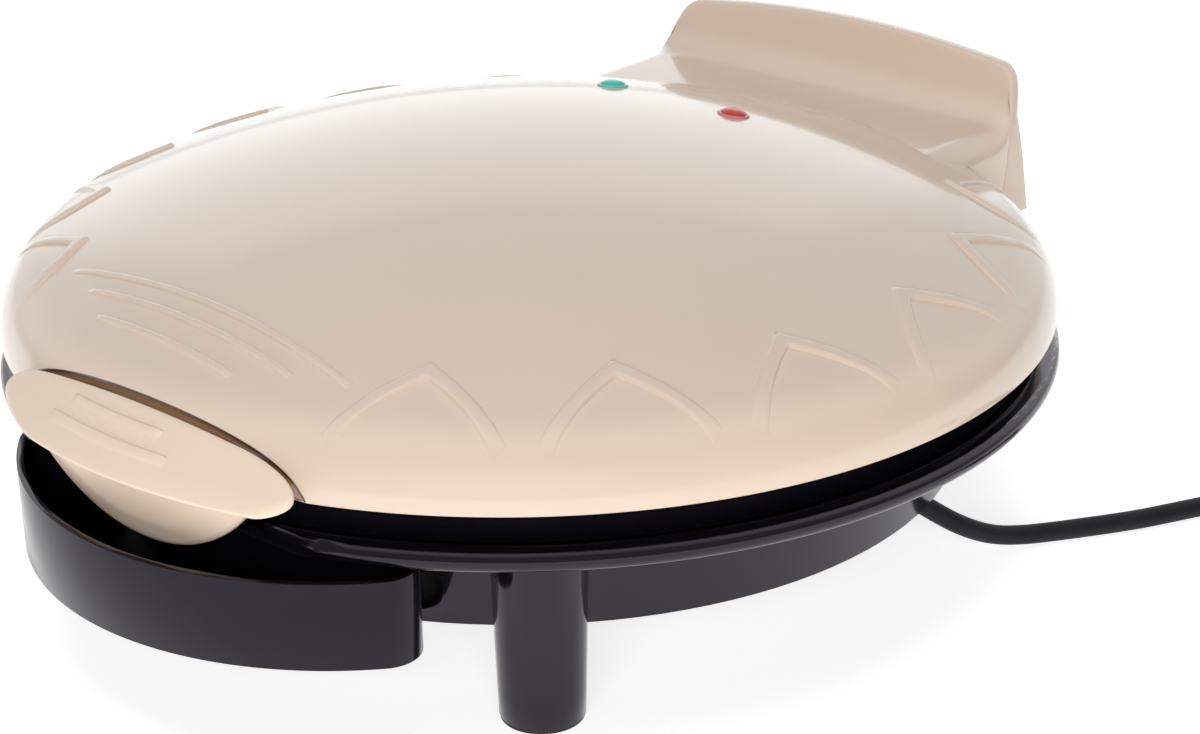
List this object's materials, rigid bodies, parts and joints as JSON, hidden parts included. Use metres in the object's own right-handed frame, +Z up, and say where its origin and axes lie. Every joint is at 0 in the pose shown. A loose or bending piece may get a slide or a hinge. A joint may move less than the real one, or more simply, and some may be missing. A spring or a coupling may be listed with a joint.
{
  "type": "waffle cone maker",
  "caption": "Round table-top two-plate cooker with a domed lid on a rear hinge, front latch, signal lamps, waffle-grid plates, sliding drip tray and a coiled mains lead.",
  "frame": {"origin": "on the table under the centre of the round plates, midway between the feet", "axes": "+Z up, -Y towards the latch and drip tray, +Y towards the hinge and the tail of the lid"},
  "size_m": [0.556, 0.3853, 0.1314],
  "materials": {
    "cream_plastic": "glossy moulded cream",
    "latch_plastic": "glossy moulded cream",
    "black_plastic": "glossy moulded black",
    "tray_plastic": "glossy moulded black",
    "inner_plastic": "matte moulded black",
    "coated_aluminium": "dark non-stick coating",
    "heater_steel": "drawn heater tube",
    "sheet_steel": "bright reflector sheet",
    "zinc_steel": "zinc plated",
    "painted_steel": "black enamel",
    "green_lens": "clear green moulding",
    "red_lens": "clear red moulding",
    "lamp_glass": "clear",
    "white_ceramic": "matte white",
    "pad_rubber": "matte",
    "cord_rubber": "matte black sheath",
    "pin_brass": "plated"
  },
  "bodies": {
    "base": {"base_shell": "black_plastic", "bottom_cover": "inner_plastic", "tray_runners": "inner_plastic", "lower_plate": "coated_aluminium", "lower_element": "heater_steel", "lower_reflector": "sheet_steel", "base_screws": "zinc_steel", "hinge_pins": "zinc_steel", "thermostat": "white_ceramic", "thermal_fuse": "white_ceramic", "terminal_block": "white_ceramic", "foot_pads": "pad_rubber", "cord_gland": "cord_rubber", "power_cord": "cord_rubber", "cord_coil": "cord_rubber", "plug_lead": "cord_rubber", "cord_tie": "inner_plastic", "plug_body": "cord_rubber", "plug_pins": "pin_brass"},
    "lid": {"lid_shell": "cream_plastic", "lid_ring": "black_plastic", "upper_plate": "coated_aluminium", "upper_element": "heater_steel", "upper_reflector": "sheet_steel", "lid_screws": "zinc_steel", "green_lens": "green_lens", "red_lens": "red_lens", "lamp_holders": "inner_plastic", "indicator_lamps": "lamp_glass", "hinge_bracket": "painted_steel", "bracket_screws": "zinc_steel", "latch_pin": "zinc_steel", "latch_spring": "zinc_steel"},
    "latch": {"latch_handle": "latch_plastic"},
    "tray": {"drip_tray": "tray_plastic"}
  },
  "joints": [
    {"name": "lid_hinge", "type": "hinge", "parent": "base", "child": "lid", "pos_m": [0, 0.181, 0.0665], "axis": [-1, 0, 0], "range_deg": [0, 180]},
    {"name": "latch_pivot", "type": "hinge", "parent": "lid", "child": "latch", "pos_m": [0, -0.1566, 0.087], "axis": [-1, 0, 0], "range_deg": [0, 12], "stiffness_Nm_per_rad": 0.2, "springref_deg": -11.46, "deforming": ["latch_spring"]},
    {"name": "tray_slide", "type": "slide", "parent": "base", "child": "tray", "axis": [0, -1, 0], "range_m": [0, 0.07]}
  ]
}
